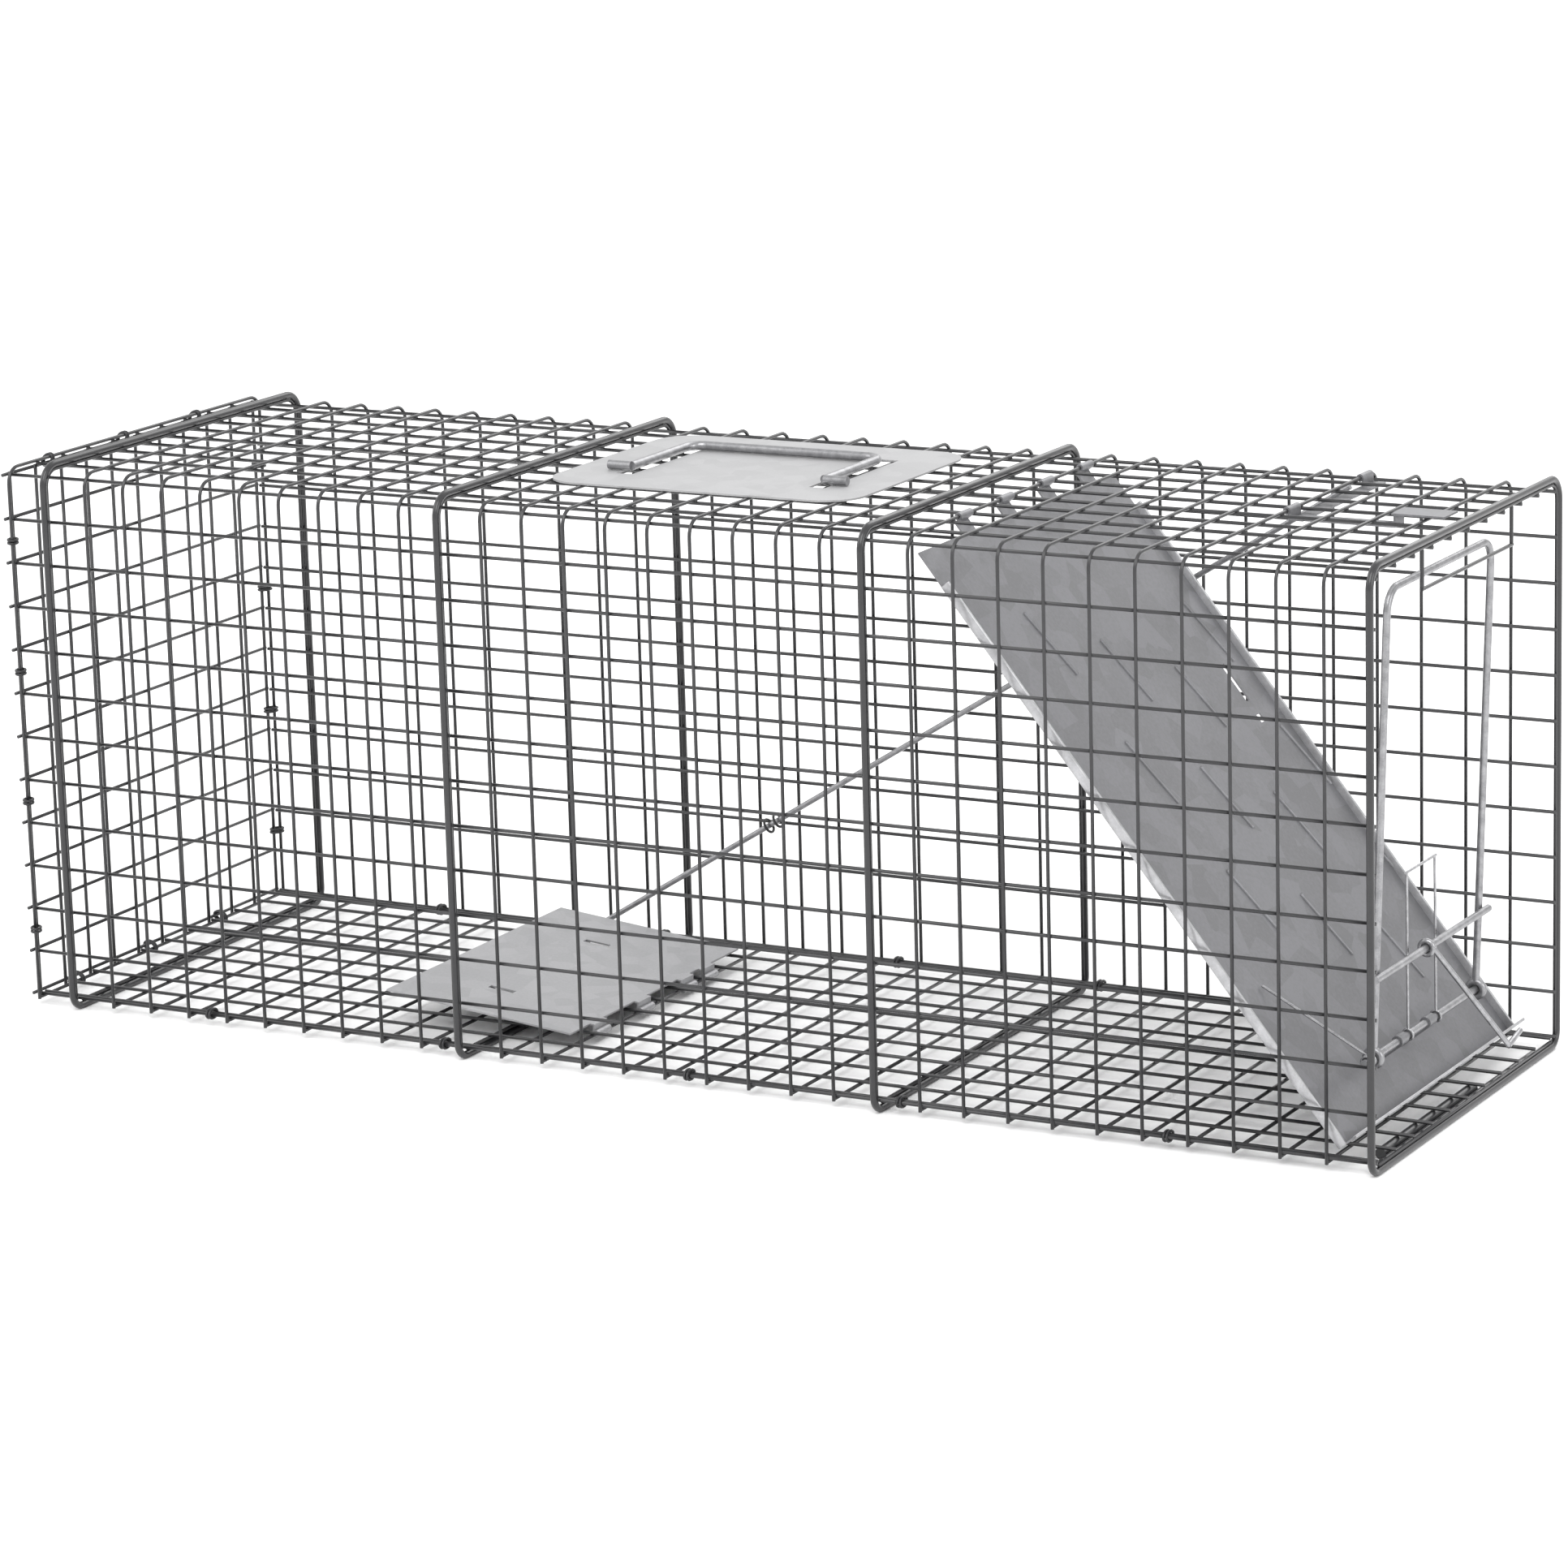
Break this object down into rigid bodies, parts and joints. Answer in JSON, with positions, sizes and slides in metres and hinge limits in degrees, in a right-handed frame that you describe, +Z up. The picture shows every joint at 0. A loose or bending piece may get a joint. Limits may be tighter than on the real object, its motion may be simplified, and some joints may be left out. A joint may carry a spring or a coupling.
{
  "type": "live catch trap",
  "caption": "Wire mesh box trap with a sloping sheet door, a swinging lock bail, a treadle plate and a folding carry handle on a guard plate.",
  "frame": {"origin": "under the middle of the whole outline, on the surface the trap stands on", "axes": "+X towards the door end, +Z up"},
  "size_m": [0.8362, 0.261, 0.3158],
  "materials": {
    "mesh_wire": "powder coated",
    "hoop_rod": "powder coated",
    "ring_wire": "dull",
    "guard_sheet": "satin galvanized",
    "handle_wire": "bright galvanized",
    "door_sheet": "satin galvanized",
    "treadle_sheet": "satin galvanized",
    "catch_sheet": "satin galvanized",
    "zinc_rod": "galvanized",
    "spring_wire": "bright spring wire"
  },
  "bodies": {
    "cage": {"near_side_mesh": "mesh_wire", "far_side_mesh": "mesh_wire", "roof_mesh": "mesh_wire", "floor_mesh": "mesh_wire", "rear_mesh": "mesh_wire", "rear_hoop": "hoop_rod", "second_hoop": "hoop_rod", "third_hoop": "hoop_rod", "front_hoop": "hoop_rod", "front_frame_wire": "hoop_rod", "hanger_loop": "hoop_rod", "side_hog_rings": "ring_wire", "rear_hog_rings": "ring_wire", "door_stop": "hoop_rod", "guard_plate": "guard_sheet", "rod_guide": "ring_wire"},
    "door": {"door_panel": "door_sheet", "pivot_rod": "zinc_rod", "torsion_springs": "spring_wire"},
    "bail": {"lock_bail": "zinc_rod", "cross_rod": "zinc_rod", "bail_spring": "spring_wire"},
    "hook": {"set_hook": "spring_wire"},
    "treadle": {"treadle_plate": "treadle_sheet"},
    "trigger": {"trigger_rod": "zinc_rod"},
    "catch": {"trigger_catch": "catch_sheet"},
    "handle": {"handle": "handle_wire"}
  },
  "joints": [
    {"name": "door_swing", "type": "hinge", "parent": "cage", "child": "door", "pos_m": [0.14823, 0, 0.30848], "axis": [0, -1, 0], "range_deg": [0, 13.5]},
    {"name": "bail_fold", "type": "hinge", "parent": "door", "child": "bail", "pos_m": [0.37909, 0, 0.04493], "axis": [0, -1, 0], "range_deg": [0, 36]},
    {"name": "hook_swing", "type": "hinge", "parent": "bail", "child": "hook", "pos_m": [0.38464, 0, 0.08876], "axis": [0, -1, 0], "range_deg": [0, 40]},
    {"name": "treadle_tip", "type": "hinge", "parent": "cage", "child": "treadle", "pos_m": [-0.08037, 0, 0.00502], "axis": [0, -1, 0], "range_deg": [0, 3]},
    {"name": "trigger_slide", "type": "slide", "parent": "cage", "child": "trigger", "axis": [0.8526, 0, 0.5225], "range_m": [0, 0.002]},
    {"name": "catch_lift", "type": "hinge", "parent": "cage", "child": "catch", "pos_m": [0.30063, 0, 0.30848], "axis": [0, -1, 0], "range_deg": [0, 2]},
    {"name": "handle_lift", "type": "hinge", "parent": "cage", "child": "handle", "pos_m": [-0.01306, -0.02186, 0.3133], "axis": [1, 0, 0], "range_deg": [0, 90]}
  ],
  "couplings": [
    {"joint": "bail_fold", "follows": "door_swing", "ratio": 2.65},
    {"joint": "trigger_slide", "follows": "treadle_tip", "m_per_rad": 0.03},
    {"joint": "catch_lift", "follows": "treadle_tip", "ratio": 0.6}
  ]
}
